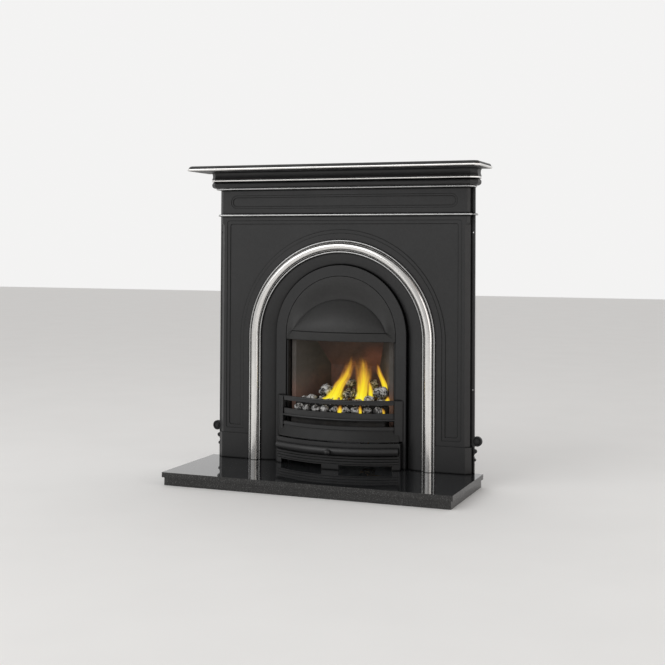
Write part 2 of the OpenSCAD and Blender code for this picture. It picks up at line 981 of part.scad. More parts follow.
module front_bars() {
    upright_a = upright_w / bow_r * 180 / PI;
    color(iron)
    at_wall()
    difference() {
        union() {
            bowed(bar_axis_y, bow_angle - upright_a / 2)
            grate_section();
            for (side = [0, 1])
                mirror([side, 0, 0])
                translate([0, bar_axis_y, 0])
                rotate([0, 0, -90 + bow_angle - upright_a])
                rotate_extrude(angle = upright_a, $fn = 200)
                translate([bow_r - bar_t - 2, grate_low_h + 2])
                square([bar_t + 4, grate_top_h - grate_low_h - 4]);
        }
        translate([-body_half, -frame_y - 0.3, 0])
        cube([body_w, frame_y, grate_top_h + over]);
        for (side = [-1, 1])
            translate([side * hook_x - hook_t / 2, -frame_y - 10, hook_z + 2])
            cube([hook_t, 20, hook_drop - 2]);
    }
}

module bar_hooks() {
    tongue_y = frame_t - frame_y + 0.4;
    color(steel)
    at_wall()
    for (side = [-1, 1])
        translate([side * hook_x - hook_t / 2, 0, 0]) {
            translate([0, -frame_y - 10, hook_z + 2])
            cube([hook_t, tongue_y + 3 + frame_y + 10, hook_drop - 2]);
            translate([0, tongue_y, hook_z - hook_drop + 2])
            cube([hook_t, 3, 2 * hook_drop - 2]);
        }
}

cover_t = 8;
cover_roll_r = 16;
cover_roll_z = cover_top_h - 34;
air_slot_h = 20;
pier_w = 74;
knob_bore = 6.1;

// Plate with a roll, a plain band above it and three fine reeds below
module cover_section() {
    translate([bow_r - cover_t, 0])
    square([cover_t - 2, cover_top_h - 1]);
    translate([bow_r - cover_t, cover_roll_z + cover_roll_r])
    square([cover_t, cover_top_h - cover_roll_z - cover_roll_r]);
    for (z = [air_slot_h + 6, air_slot_h + 17, air_slot_h + 28])
        translate([bow_r - cover_t, z])
        square([cover_t, 8]);
    translate([bow_r - cover_t, 0])
    square([cover_t, air_slot_h + 4]);
}

module ash_cover() {
    cover_half = grate_half_w - 3;
    cover_a = asin(cover_half / bow_r);
    cover_end_y = cover_axis_y - sqrt(bow_r * bow_r - cover_half * cover_half);
    slot_out = throat_r;
    color(iron)
    at_wall()
    difference() {
        union() {
            bowed(cover_axis_y, cover_a - 0.2)
            cover_section();
            bowed(cover_axis_y, cover_a - 1.4)
            difference() {
                bar_round(bow_r - 2, cover_roll_z, 2 * cover_roll_r);
                translate([bow_r - 40, 0])
                square([40 - cover_t / 2, cover_top_h]);
            }
            both_sides()
            translate([cover_half - cover_t, cover_end_y - 2, 0])
            cube([cover_t, -cover_end_y + 2 - frame_y - 0.3, cover_top_h - 1]);
        }
        both_sides()
        translate([pier_w / 2, -hearth_d, -over])
        cube([slot_out - pier_w / 2, hearth_d - frame_y, air_slot_h + over]);
        translate([0, 0, cover_roll_z])
        along_y(cover_axis_y - bow_r - 40, cover_axis_y - bow_r + 20, knob_bore);
    }
}

// Turned knob on a screwed stem, nutted behind the cover
module cover_knob() {
    base_y = cover_axis_y - bow_r - cover_roll_r + 2 - 0.3;
    color(iron)
    at_wall()
    translate([0, base_y, cover_roll_z])
    rotate([90, 0, 0]) {
        rotate_extrude()
        intersection() {
            square([knob_d, knob_d + 10]);
            union() {
                square([knob_d / 2 - 4, 3]);
                square([4.5, 12]);
                translate([0, knob_d / 2 + 5])
                circle(knob_d / 2);
            }
        }
        translate([0, 0, -30])
        cylinder(h = 31, d = knob_bore - 0.1);
    }
}

// ---------------------------------------------------------------- burner and coals

tray_half_w = chamber_back_x + 20;
leg_h = 16;
tray_top_h = burner_shelf_h + leg_h + 32;
tray_gap = 7;
tray_front_y = bar_axis_y - sqrt(pow(bow_r - bar_t - 2 - tray_gap, 2) - pow(tray_half_w, 2));
tray_back_y = chamber_back_y - 50;
bed_ledge_h = bed_top_h - 43;
bed_ledge_r = bow_r - 14;
bed_face_r = bow_r - 56;
bed_back_h = bed_top_h + 16;
bed_back_r = bow_r - 104;
bed_end_y = chamber_back_y - 40;
bed_gap = 2;

// Half the width inside the cheeks at a given depth, less a gap
function bed_half(y) =
    mix(chamber_front_x, chamber_back_x,
        (y - chamber_front_y) / (chamber_back_y - chamber_front_y)) - bed_gap;

module bed_plan(front_r) {
    intersection() {
        polygon([
            [-bed_half(chamber_front_y), -hearth_d],
            [bed_half(chamber_front_y), -hearth_d],
            [bed_half(chamber_front_y), chamber_front_y],
            [bed_half(bed_end_y), bed_end_y],
            [-bed_half(bed_end_y), bed_end_y],
            [-bed_half(chamber_front_y), chamber_front_y]
        ]);
        translate([0, bar_axis_y])
        circle(front_r, $fn = 200);
    }
}

module burner_tray() {
    port_w = 6;
    port_deep = 6;
    port_pitch = (tray_half_w - 30) / 4;
    color(steel)
    at_wall()
    difference() {
        translate([-tray_half_w, tray_front_y, burner_shelf_h + leg_h])
        cube([2 * tray_half_w, tray_back_y - tray_front_y, tray_top_h - burner_shelf_h - leg_h]);
        for (i = [-4:4])
            translate([i * port_pitch - port_w / 2, tray_front_y + 10, tray_top_h - port_deep])
            cube([port_w, tray_back_y - tray_front_y - 20, port_deep + over]);
        translate([valve_x, pipe_y + 10, burner_shelf_h])
        cylinder(h = leg_h + 6, d = pipe_d + 0.1);
    }
}

module burner_legs() {
    color(steel)
    at_wall()
    for (x = [-tray_half_w + 15, tray_half_w - 15])
        for (y = [tray_front_y + 12, tray_back_y - 14])
            translate([x, y, burner_shelf_h])
            cylinder(h = leg_h, d = 12, $fn = 32);
}

module fuel_bed_base() {
    color(ceramic)
    at_wall() {
        translate([0, 0, tray_top_h])
        linear_extrude(bed_ledge_h - tray_top_h)
        bed_plan(bed_ledge_r);
        translate([0, 0, bed_ledge_h - over])
        linear_extrude(bed_top_h - bed_ledge_h + over)
        bed_plan(bed_face_r);
        translate([0, 0, bed_top_h - over])
        linear_extrude(bed_back_h - bed_top_h + over)
        bed_plan(bed_back_r);
    }
}

// A lump of coal with flat beds above and below: r is its radius, tall its stretch in Z
module coal(r, tall, turn) {
    rings = 8;
    sides = 10;
    flat = 0.8;
    function lump(lon, lat) =
        r * (1 + 0.09 * sin(3 * lon + 50 * turn) * cos(2 * lat + 31 * turn)
               + 0.07 * cos(2 * lon - 3 * lat + 77 * turn));
    function surface_point(lon, lat) =
        let (q = lump(lon, lat), z = q * sin(lat) * 1.15)
        [q * cos(lat) * cos(lon), q * cos(lat) * sin(lon), tall * max(-flat * r, min(flat * r, z))];
    ring_points = [for (j = [1:rings - 1]) for (i = [0:sides - 1])
        surface_point(i * 360 / sides, -90 + j * 180 / rings)];
    low = len(ring_points);
    high = low + 1;
    last = (rings - 2) * sides;
    function at(j, i) = j * sides + (i % sides);
    faces = concat(
        [for (i = [0:sides - 1]) [low, at(0, i), at(0, i + 1)]],
        [for (j = [0:rings - 3]) for (i = [0:sides - 1]) each
            [[at(j, i), at(j + 1, i), at(j + 1, i + 1)],
             [at(j, i), at(j + 1, i + 1), at(j, i + 1)]]],
        [for (i = [0:sides - 1]) [high, last + (i + 1) % sides, last + i]]
    );
    translate([0, 0, tall * flat * r])
    rotate([0, 0, 67 * turn])
    polyhedron(concat(ring_points, [[0, 0, -tall * flat * r], [0, 0, tall * flat * r]]), faces);
}

front_coal_count = 9;
front_coal_r = 17;
front_coal_step = 43.9;

// Bearing round the bow's axis of a point that far along an arc
function bearing(along, r) = along / r * 180 / PI;

// Upright coals in a row on the bed's ledge, behind the bars
module front_coals() {
    color(coal_grey)
    at_wall()
    for (i = [0:front_coal_count - 1]) {
        r = (bed_ledge_r + bed_face_r) / 2 + 1;
        along = (i - (front_coal_count - 1) / 2) * front_coal_step;
        at_bow(bearing(along, r), r, bed_ledge_h)
        coal(front_coal_r, 1.7, i + 1);
    }
}

// Loose coals: distance along the bow from its middle, distance behind the tier's front
// edge, radius and stretch. A piled coal is the number of the one below, radius, stretch.
front_tier_coals = [
    [-170, 0, 17, 1], [-129, 0, 19, 1.25], [-84, 0, 17, 0.9], [-44, 0, 17, 0.9], [-4, 0, 17, 0.9],
    [36, 0, 17, 0.9], [78, 0, 18, 1], [126, 0, 19, 1.5], [175, 0, 18, 1.1]
];
back_tier_coals = [
    [-80, 0, 31, 1.25], [19, 0, 24, 1.08], [-71, 69, 23, 1.3], [12, 60, 23, 1.25],
    [119, 24, 22, 1.25], [66, 15, 19, 1.1]
];
front_pile_coals = [[8, 27, 1.1]];
back_pile_coals = [[3, 22, 1], [4, 20, 1.3]];
coal_edge_gap = 4;
coal_stack_gap = 0.2;

function coal_top(c) = 1.6 * c[2] * c[3] + coal_stack_gap;

module at_bow(a, r, z) {
    translate([r * sin(a), bar_axis_y - r * cos(a), z])
    children();
}

// Places a coal of that size on the bow, clear of the cheeks
module at_coal(along, r, size, z) {
    a = bearing(along, r);
    y = bar_axis_y - r * cos(a);
    most = bed_half(y) - 1.1 * size;
    translate([sign(a) * min(r * sin(abs(a)), most), y, z])
    children();
}

// The rows on one tier, with the piled coals: a pile names the coal below it by number
module coal_tier(edge_r, z, row, piles, turn) {
    for (i = [0:len(row) - 1])
        let (c = row[i], r = edge_r - coal_edge_gap - c[1] - c[2])
        at_coal(c[0], r, c[2], z)
        coal(c[2], c[3], turn + i);
    for (i = [0:len(piles) - 1])
        let (p = piles[i], c = row[p[0]], r = edge_r - coal_edge_gap - c[1] - c[2])
        at_coal(c[0], r, p[1], z + coal_top(c))
        coal(p[1], p[2], turn + 20 + i);
}

module loose_coals() {
    color(coal_grey)
    at_wall() {
        coal_tier(bed_face_r, bed_top_h, front_tier_coals, front_pile_coals, 11);
        coal_tier(bed_back_r, bed_back_h, back_tier_coals, back_pile_coals, 31);
    }
}

// Pilot burner with its thermocouple and spark pin, on a foot beside the tray
module pilot_assembly() {
    pilot_x = -tray_half_w - 28;
    color(brass)
    at_wall()
    translate([pilot_x, -30, burner_shelf_h]) {
        translate([-14, -12, 0])
        cube([28, 24, 3]);
        cylinder(h = 34, d = 9, $fn = 32);
        for (x = [-9, 9])
            translate([x, 0, 0])
            cylinder(h = 40, d = 4, $fn = 32);
        translate([-11, -5, 22])
        cube([22, 10, 4]);
    }
}

// ---------------------------------------------------------------- gas control

valve_w = 44;
valve_low_h = 24;
valve_top_h = 68;
valve_front_y = 0;
valve_depth = 54;
valve_mid_h = (valve_low_h + valve_top_h) / 2;
spindle_d = 8;
spindle_gap = 0.05;
spindle_travel = 3;
knob_front_y = -42;
knob_t = 16;

module gas_valve() {
    color(brass)
    at_wall()
    difference() {
        union() {
            translate([valve_x - valve_w / 2, valve_front_y, valve_low_h])
            cube([valve_w, valve_depth, valve_top_h - valve_low_h]);
            translate([valve_x, 0, valve_mid_h])
            along_y(valve_front_y - 5, valve_front_y + over, 26);
            translate([valve_x, pipe_y + 10, valve_top_h - over])
            cylinder(h = 7, d = 16, $fn = 32);
        }
        translate([valve_x, 0, valve_mid_h])
        along_y(valve_front_y - 10, valve_front_y + 20 + spindle_travel + over,
                spindle_d + 2 * spindle_gap);
        translate([valve_x, pipe_y + 10, valve_top_h - 6])
        cylinder(h = 20, d = pipe_d + 0.1);
        translate([valve_x, pipe_y, pipe_z])
        rotate([0, 90, 0])
        translate([0, 0, valve_w / 2 - 8])
        cylinder(h = 10, d = pipe_d + 0.1);
    }
}

// Hangs the valve from the burner shelf
module valve_bracket() {
    color(steel)
    at_wall()
    translate([valve_x - valve_w / 2 - sheet_t, valve_front_y + 2, valve_low_h + 10]) {
        cube([sheet_t, 16, burner_shelf_h - sheet_t - valve_low_h - 10]);
        translate([-20, 0, burner_shelf_h - 2 * sheet_t - valve_low_h - 10])
        cube([20 + sheet_t, 16, sheet_t]);
    }
}

module control_spindle() {
    color(brass)
    at_wall()
    translate([valve_x, 0, valve_mid_h])
    along_y(knob_front_y + 3, valve_front_y + 20, spindle_d);
}

module control_knob() {
    grips = 12;
    grip_d = 5;
    color(iron)
    at_wall()
    translate([valve_x, knob_front_y + knob_t, valve_mid_h])
    rotate([90, 0, 0])
    difference() {
        union() {
            cylinder(h = knob_t, d = 34);
            cylinder(h = 4, d = 40);
        }
        for (i = [0:grips - 1])
            rotate([0, 0, i * 360 / grips])
            translate([18, 0, 5])
            cylinder(h = knob_t, d = grip_d, $fn = 24);
        translate([0, 0, -over])
        cylinder(h = knob_t - 3 + over + 0.3, d = spindle_d + 2 * spindle_gap);
        translate([-1, 8, knob_t - 1])
        cube([2, 8, 2]);
    }
}

fitting_grip = 8;

module gas_feed_pipe() {
    start_x = valve_x + valve_w / 2 - 7;
    color(brass)
    at_wall()
    translate([start_x, pipe_y, pipe_z])
    rotate([0, 90, 0])
    cylinder(h = firebox_half_w + fitting_grip - start_x, d = pipe_d);
}

// Bulkhead fitting at the firebox's side, with the stub that the supply is joined to
module inlet_fitting() {
    hex_l = 15;
    collar_l = 19;
    stub_l = 58;
    color(brass)
    at_wall()
    translate([firebox_half_w, pipe_y, pipe_z])
    rotate([0, 90, 0])
    difference() {
        union() {
            cylinder(h = 3, d = 24);
            cylinder(h = hex_l, d = 19, $fn = 6);
            cylinder(h = collar_l, d = 13);
            cylinder(h = stub_l, d = pipe_d);
        }
        translate([0, 0, -over])
        cylinder(h = fitting_grip + over, d = pipe_d + 0.1);
        cylinder(h = stub_l + over, d = pipe_d - 2);
    }
}

module burner_pipe() {
    color(brass)
    at_wall()
    translate([valve_x, pipe_y + 10, valve_top_h - 5])
    cylinder(h = burner_shelf_h + leg_h + 5 - valve_top_h + 5, d = pipe_d);
}

// ---------------------------------------------------------------- fasteners

// Hexagon bolts, head at z = 0 and below, shank up
module bolt(d, length) {
    translate([0, 0, -0.65 * d])
    cylinder(h = 0.65 * d, d = 2 * d, $fn = 6);
    translate([0, 0, -0.3])
    cylinder(h = length + 0.3, d = d, $fn = 32);
}

module shelf_bolts() {
    color(steel)
    at_wall()
    for (x = shelf_bolt_x)
        translate([x, shelf_bolt_y, crown_top - iron_t])
        bolt(shelf_bolt_d, iron_t + 12);
}

module arch_bolts() {
    color(steel)
    at_wall()
    at_arch_bolts()
    translate([0, insert_flange_t - plate_back, 0])
    rotate([90, 0, 0])
    bolt(arch_bolt_d, insert_flange_t + iron_t + 8);
}

module firebox_bolts() {
    color(steel)
    at_wall()
    at_firebox_bolts()
    translate([0, firebox_front_y + sheet_t, 0])
    rotate([90, 0, 0])
    bolt(firebox_bolt_d, 10);
}

hearth_slab();
front_riser();
left_riser();
right_riser();
slab_supports();
back_hearth();
mantel_surround();
mantel_shelf();
polished_arch();
arch_insert();
canopy_hood();
left_cheek();
right_cheek();
fireback();
firebox();
flue_collar();
front_bars();
bar_hooks();
ash_cover();
cover_knob();
burner_tray();
burner_legs();
fuel_bed_base();
front_coals();
loose_coals();
pilot_assembly();
gas_valve();
valve_bracket();
control_spindle();
control_knob();
gas_feed_pipe();
inlet_fitting();
burner_pipe();
shelf_bolts();
arch_bolts();
firebox_bolts();
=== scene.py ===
"""Looks of the cast iron fireplace: finishes, bright edges, coals, flames, studio and camera.

Lengths are in metres. Only what is measured on the fireplace itself is in millimetres, with x
from its middle, y from the wall's face and into the wall, and z from the hearth's top.
"""
import math
import random

import bmesh
import bpy
from mathutils import Euler, Matrix, Vector, noise


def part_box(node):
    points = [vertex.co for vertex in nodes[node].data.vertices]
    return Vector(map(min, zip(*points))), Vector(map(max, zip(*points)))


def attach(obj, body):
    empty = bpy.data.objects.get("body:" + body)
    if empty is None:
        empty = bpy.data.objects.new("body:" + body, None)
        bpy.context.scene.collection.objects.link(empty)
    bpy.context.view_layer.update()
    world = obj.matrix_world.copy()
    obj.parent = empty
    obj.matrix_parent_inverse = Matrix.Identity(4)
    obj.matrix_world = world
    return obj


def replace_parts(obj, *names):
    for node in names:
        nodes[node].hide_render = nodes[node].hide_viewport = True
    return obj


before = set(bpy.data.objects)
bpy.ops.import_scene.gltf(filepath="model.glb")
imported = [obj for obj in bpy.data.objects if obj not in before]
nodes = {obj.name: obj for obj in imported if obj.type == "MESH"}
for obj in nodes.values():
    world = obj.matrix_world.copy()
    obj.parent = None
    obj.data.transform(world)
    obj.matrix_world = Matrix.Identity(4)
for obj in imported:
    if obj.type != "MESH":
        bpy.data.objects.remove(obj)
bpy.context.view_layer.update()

# Wall face and hearth top in the part's frame
WALL_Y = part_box("hearth_slab")[1][1]
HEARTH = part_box("hearth_slab")[1][2]


def from_wall(x, y, z):
    """The place in the frame of a point given in millimetres."""
    return Vector((x / 1000, y / 1000 + WALL_Y, z / 1000 + HEARTH))


# ---------------------------------------------------------------- finishes

# Nearly all of a noise texture's values lie between these two
NOISE_LOW, NOISE_HIGH = 0.3, 0.7
# Sockets of a Mix node that mixes colours
MIX_SHARE, MIX_A, MIX_B, MIX_RESULT = 0, 6, 7, 2


class Finish:
    """A procedural material laid out in the object's own coordinates, in metres."""

    def __init__(self, name, **sockets):
        self.material = bpy.data.materials.new(name)
        self.material.use_nodes = True
        self.tree = self.material.node_tree
        self.shader = self.tree.nodes["Principled BSDF"]
        self.place = self.add("ShaderNodeTexCoord").outputs["Object"]
        self.normal = None
        for socket, value in sockets.items():
            self.shader.inputs[socket].default_value = value

    def add(self, kind, **settings):
        made = self.tree.nodes.new(kind)
        for key, value in settings.items():
            setattr(made, key, value)
        return made

    def link(self, source, target):
        self.tree.links.new(source, target)

    def feed(self, socket, value):
        """Sets a socket to a number, a colour or another node's output."""
        if isinstance(value, bpy.types.NodeSocket):
            self.link(value, socket)
        elif isinstance(value, tuple) and len(value) == 3 and socket.type == "RGBA":
            socket.default_value = (*value, 1.0)
        else:
            socket.default_value = value

    def stretched(self, x, y, z):
        mapping = self.add("ShaderNodeMapping")
        self.link(self.place, mapping.inputs["Vector"])
        mapping.inputs["Scale"].default_value = (x, y, z)
        return mapping.outputs["Vector"]

    def noise(self, scale, detail, rough=0.5, distortion=0.0, vector=None):
        made = self.add("ShaderNodeTexNoise")
        self.link(vector or self.place, made.inputs["Vector"])
        made.inputs["Scale"].default_value = scale
        made.inputs["Detail"].default_value = detail
        made.inputs["Roughness"].default_value = rough
        made.inputs["Distortion"].default_value = distortion
        return made.outputs[0]

    def cells(self, scale, output="Distance"):
        made = self.add("ShaderNodeTexVoronoi", feature="F1")
        self.link(self.place, made.inputs["Vector"])
        made.inputs["Scale"].default_value = scale
        return made.outputs[output]

    def axis(self, name):
        split = self.add("ShaderNodeSeparateXYZ")
        self.link(self.place, split.inputs[0])
        return split.outputs[name]

    def span(self, value, low, high, to_low=0.0, to_high=1.0, smooth=False):
        """Turns the range from low to high into the one from to_low to to_high, and clamps."""
        made = self.add("ShaderNodeMapRange")
        made.interpolation_type = "SMOOTHSTEP" if smooth else "LINEAR"
        self.link(value, made.inputs["Value"])
        made.inputs["From Min"].default_value = low
        made.inputs["From Max"].default_value = high
        made.inputs["To Min"].default_value = to_low
        made.inputs["To Max"].default_value = to_high
        return made.outputs[0]

    def spread(self, source, to_low=0.0, to_high=1.0):
        """The same for a noise, over its usual range."""
        return self.span(source, NOISE_LOW, NOISE_HIGH, to_low, to_high)

    def height(self, low, high, to_low=0.0, to_high=1.0, smooth=False):
        """The same between two heights above the hearth."""
        return self.span(self.axis("Z"), HEARTH + low, HEARTH + high, to_low, to_high, smooth)

    def maths(self, operation, *values):
        made = self.add("ShaderNodeMath", operation=operation)
        for socket, value in zip(made.inputs, values):
            self.feed(socket, value)
        return made.outputs[0]

    def mix(self, share, a, b):
        made = self.add("ShaderNodeMix", data_type="RGBA")
        self.feed(made.inputs[MIX_SHARE], share)
        self.feed(made.inputs[MIX_A], a)
        self.feed(made.inputs[MIX_B], b)
        return made.outputs[MIX_RESULT]

    def ramp(self, value, *stops):
        made = self.add("ShaderNodeValToRGB")
        self.link(value, made.inputs[0])
        elements = made.color_ramp.elements
        while len(elements) < len(stops):
            elements.new(0.5)
        for element, (place, colour) in zip(elements, stops):
            element.position = place
            element.color = (*colour, 1.0)
        return made.outputs[0]

    def crevice(self, reach, low, high):
        """Goes from 0 in narrow gaps to 1 on open faces."""
        made = self.add("ShaderNodeAmbientOcclusion", samples=8)
        made.inputs["Distance"].default_value = reach
        return self.span(made.outputs["AO"], low, high)

    def colour(self, output):
        self.link(output, self.shader.inputs["Base Color"])

    def rough(self, output):
        self.link(output, self.shader.inputs["Roughness"])

    def glow(self, colour, strength):
        self.shader.inputs["Emission Color"].default_value = (*colour, 1.0)
        self.link(strength, self.shader.inputs["Emission Strength"])

    def soft_edges(self, radius):
        """Rounds the look of sharp cast edges."""
        made = self.add("ShaderNodeBevel", samples=6)
        made.inputs["Radius"].default_value = radius
        self.normal = made.outputs[0]
        self.link(self.normal, self.shader.inputs["Normal"])

    def bump(self, height, distance, strength):
        made = self.add("ShaderNodeBump")
        made.inputs["Distance"].default_value = distance
        made.inputs["Strength"].default_value = strength
        self.link(height, made.inputs["Height"])
        if self.normal:
            self.link(self.normal, made.inputs["Normal"])
        self.normal = made.outputs[0]
        self.link(self.normal, self.shader.inputs["Normal"])


def iron_finish(name, dark, light, rough_low, rough_high, shine=0.5):
    """Satin black paint over sand-cast iron: a fine grain, slow changes of tone, and painted
    shade in narrow gaps and along the foot.
    """
    # Colour and shine of the painted shade in narrow gaps and at the foot
    painted_gap_shade = (0.002, 0.002, 0.002)
    shine_in_painted_shade = 0.06
    made = Finish(name)
    slow = made.noise(5, detail=3)
    mottle = made.noise(90, detail=3, rough=0.6)
    share = made.maths("ADD", made.spread(slow, 0, 0.6), made.spread(mottle, 0, 0.4))
    # Painted shade: narrow gaps, found by ambient occlusion, and the lowest 3 mm above the
    # hearth, as a contact shadow, turn towards near black and lose most of their shine
    foot = made.height(0.0008, 0.003)
    clear_of_painted_shade = made.maths("MULTIPLY", made.crevice(reach=0.009, low=0.55, high=0.95), foot)
    made.colour(made.mix(clear_of_painted_shade, painted_gap_shade, made.mix(share, dark, light)))
    made.link(made.span(clear_of_painted_shade, 0, 1, shine_in_painted_shade, shine),
              made.shader.inputs["Specular IOR Level"])
    made.rough(made.spread(made.noise(22, detail=4, rough=0.6), rough_low, rough_high))
    made.soft_edges(0.0012)
    made.bump(made.noise(75, detail=3, rough=0.55), distance=0.0006, strength=0.35)
    made.bump(made.noise(900, detail=2, rough=0.6), distance=0.0002, strength=0.5)
    return made.material


def metal_finish(name, bright, worn, rough_low, rough_high, grain, wave=0.0):
    """Bare metal with faint smears and a fine grain; wave gives a hand-polished bar's swells and
    a painted contact shadow at its foot.
    """
    painted_foot_shadow = (0.02, 0.02, 0.02)
    made = Finish(name, Metallic=1.0)
    smear = made.noise(grain, detail=4, rough=0.6, distortion=0.4)
    bare = made.mix(made.span(smear, 0.35, 0.75), bright, worn)
    # Painted shadow: the bottom 3 mm above the hearth turn near black where the bar stands on it
    if wave:
        made.colour(made.mix(made.height(0.0005, 0.003), painted_foot_shadow, bare))
    else:
        made.colour(bare)
    made.rough(made.spread(made.noise(grain * 2.3, detail=3, rough=0.6), rough_low, rough_high))
    if wave:
        made.bump(made.noise(9, detail=1, rough=0.4), distance=0.003, strength=wave)
    made.bump(made.noise(300, detail=2), distance=0.0001, strength=0.04)
    return made.material


def granite_finish(name, rough_low, rough_high, base, fleck, ior=1.5):
    """Black granite: grey and pale crystals in a near black ground."""
    cloud_gain, glint_gain = 1.7, 2.2
    made = Finish(name, IOR=ior)
    cloud = made.noise(14, detail=4, rough=0.6)
    ground = made.mix(made.spread(cloud), base, tuple(cloud_gain * c for c in base))
    grains = made.cells(520, output="Color")
    ground = made.mix(made.span(grains, 0.62, 0.95), ground, fleck)
    stars = made.span(made.cells(230), 0.30, 0.05)
    glint = made.span(made.maths("MULTIPLY", stars, made.noise(150, detail=1)), 0.30, 0.6)
    made.colour(made.mix(glint, ground, tuple(glint_gain * c for c in fleck)))
    made.rough(made.span(grains, 0.0, 1.0, rough_low, rough_high))
    return made.material


def ceramic_finish(name, cool, warm, soot_tone, warm_low, warm_high, hot_place=None):
    """Fire ceramic: a sooted upper part, brick tones near the coals, and a red hot place."""
    made = Finish(name)
    drift = made.spread(made.noise(9, detail=4, rough=0.6), -0.05, 0.05)
    level = made.maths("ADD", made.axis("Z"), drift)
    warmth = made.span(level, HEARTH + warm_low, HEARTH + warm_high, 1, 0, smooth=True)
    ground = made.mix(warmth, cool, warm)
    black = made.span(made.noise(7, detail=5, rough=0.65, distortion=0.5), 0.42, 0.68)
    made.colour(made.mix(black, ground, soot_tone))
    made.rough(made.spread(made.noise(50, detail=3), 0.7, 0.92))
    made.bump(made.noise(260, detail=4, rough=0.6), distance=0.0008, strength=0.6)
    made.bump(made.noise(35, detail=3), distance=0.002, strength=0.35)
    if hot_place:
        x, above = hot_place
        squares = [made.maths("POWER", made.maths("ABSOLUTE", made.maths("SUBTRACT", *pair)), 2)
                   for pair in ((made.axis("X"), x), (made.axis("Z"), HEARTH + above))]
        far = made.maths("SQRT", made.maths("ADD", *squares))
        heat = made.span(far, 0.012, 0.085, 1, 0, smooth=True)
        uneven = made.spread(made.noise(22, detail=3), 0.55, 1)
        made.glow((0.055, 0.015, 0.008), made.maths("MULTIPLY", heat, uneven))
    return made.material


def coal_finish(name, painted_shade_below=None, ember=0.0):
    """Coals: ash white, grey and charred black in sharp patches, with a fine crust; below an
    optional height they are painted near black as shade.
    """
    made = Finish(name)
    patch = made.noise(52, detail=5, rough=0.66, distortion=1.1)
    vein = made.span(made.cells(120), 0.0, 0.5, -0.07, 0.07)
    ash = made.ramp(made.maths("ADD", patch, vein),
                    (0.39, (0.006, 0.006, 0.006)), (0.46, (0.020, 0.019, 0.018)),
                    (0.51, (0.11, 0.105, 0.10)), (0.57, (0.36, 0.355, 0.35)),
                    (0.66, (0.70, 0.70, 0.68)))
    # Painted shade: below the given height the coals turn near black, as if their lower parts lay
    # in shadow
    if painted_shade_below:
        lit = made.height(painted_shade_below - 0.004, painted_shade_below + 0.003, smooth=True)
        ash = made.mix(lit, (0.005, 0.005, 0.005), ash)
    made.colour(ash)
    made.rough(made.spread(patch, 0.75, 0.95))
    made.bump(made.noise(300, detail=4, rough=0.7), distance=0.0012, strength=0.7)
    made.bump(patch, distance=0.004, strength=0.5)
    if ember:
        # Embers glow low between the coals, in spots, and mostly near the flames
        low_down = made.maths("MULTIPLY", made.height(0.258, 0.276, 1, 0, smooth=True),
                              made.height(0.252, 0.256))
        aside = made.maths("ABSOLUTE", made.maths("SUBTRACT", made.axis("X"), 0.03))
        middle = made.span(aside, 0.07, 0.13, 1, 0, smooth=True)
        spots = made.span(made.noise(45, detail=3), 0.46, 0.58)
        share = made.maths("MULTIPLY", made.maths("MULTIPLY", low_down, middle), spots)
        made.glow((1.0, 0.42, 0.10), made.maths("MULTIPLY", share, ember))
    return made.material


black_iron = iron_finish("black_iron", (0.0115, 0.0115, 0.0119), (0.0195, 0.0195, 0.0202),
                         0.42, 0.50)
hood_iron = iron_finish("hood_iron", (0.019, 0.019, 0.019), (0.031, 0.0306, 0.030),
                        0.46, 0.56, shine=0.45)
fire_iron = iron_finish("fire_iron", (0.015, 0.015, 0.0155), (0.025, 0.025, 0.0255), 0.36, 0.44)
# A darker, duller copy of the bars' iron, for painted shade on the slope below the bars
painted_shade_iron = iron_finish("painted_shade_iron", (0.010, 0.010, 0.010), (0.017, 0.017, 0.017),
                            0.46, 0.56, shine=0.38)
polished_iron = metal_finish("polished_iron", (0.90, 0.89, 0.872), (0.80, 0.79, 0.772),
                             0.17, 0.23, grain=12, wave=0.05)
burnished_iron = metal_finish("burnished_iron", (0.56, 0.56, 0.56), (0.44, 0.44, 0.44),
                              0.22, 0.30, grain=12, wave=0.05)
steel_sheet = metal_finish("sheet_steel", (0.46, 0.47, 0.48), (0.34, 0.35, 0.36),
                           0.30, 0.45, grain=40)
zinc = metal_finish("zinc_steel", (0.62, 0.63, 0.62), (0.45, 0.46, 0.46), 0.28, 0.42, grain=60)
brass = metal_finish("brass", (0.72, 0.52, 0.24), (0.55, 0.38, 0.16), 0.22, 0.36, grain=60)
granite = granite_finish("granite", 0.03, 0.07, (0.0085, 0.009, 0.0095), (0.05, 0.052, 0.055),
                         ior=1.9)
honed = granite_finish("granite_edge", 0.16, 0.30, (0.0150, 0.0150, 0.0148),
                       (0.085, 0.084, 0.082))
cheek_ceramic = ceramic_finish("cheek_ceramic", (0.104, 0.094, 0.083), (0.22, 0.127, 0.099),
                               (0.074, 0.070, 0.064), 0.24, 0.40)
back_ceramic = ceramic_finish("back_ceramic", (0.125, 0.078, 0.064), (0.25, 0.120, 0.086),
                              (0.072, 0.055, 0.049), 0.28, 0.48, hot_place=(0.110, 0.425))
bed_ceramic = ceramic_finish("bed_ceramic", (0.012, 0.011, 0.010), (0.018, 0.014, 0.012),
                             (0.006, 0.0055, 0.0055), 0.10, 0.22)
loose_coal = coal_finish("coal_ceramic", ember=0.4)
# The front coals carry painted shade on their lower parts
front_coal = coal_finish("coal_ceramic_front", painted_shade_below=0.2275)

# Oxidised iron in the grooves beside the polished roll
groove = Finish("groove_iron", Metallic=0.6)
groove.colour(groove.mix(groove.noise(60, detail=3), (0.012, 0.012, 0.012), (0.06, 0.057, 0.054)))
groove.rough(groove.spread(groove.noise(40, detail=3), 0.35, 0.5))

